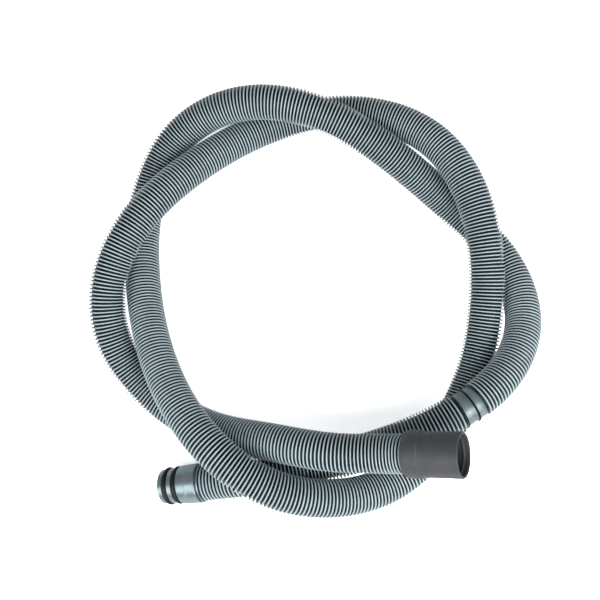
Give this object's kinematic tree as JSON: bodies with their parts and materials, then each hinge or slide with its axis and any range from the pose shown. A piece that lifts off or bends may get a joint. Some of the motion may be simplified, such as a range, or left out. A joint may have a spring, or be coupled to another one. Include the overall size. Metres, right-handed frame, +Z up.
{
  "type": "dishwasher drain hose",
  "caption": "Corrugated drain hose lying in loose crossed turns, with a plastic spigot sealed by O-rings on one end and a soft rubber cuff on the other.",
  "frame": {"origin": "middle of the lying hose's outline on the surface that it rests on", "axes": "+X to the right of the picture, along the lying hose's longest extent, +Y up the picture, away from the two ends, +Z up"},
  "size_m": [0.3054, 0.291, 0.1017],
  "materials": {
    "hose_plastic": "satin",
    "spigot_plastic": "gloss",
    "seal_rubber": "satin",
    "cuff_rubber": "matte"
  },
  "bodies": {
    "root": {"hose_tube": "hose_plastic", "inlet_spigot": "spigot_plastic", "front_oring": "seal_rubber", "rear_oring": "seal_rubber", "outlet_cuff": "cuff_rubber"}
  },
  "joints": []
}
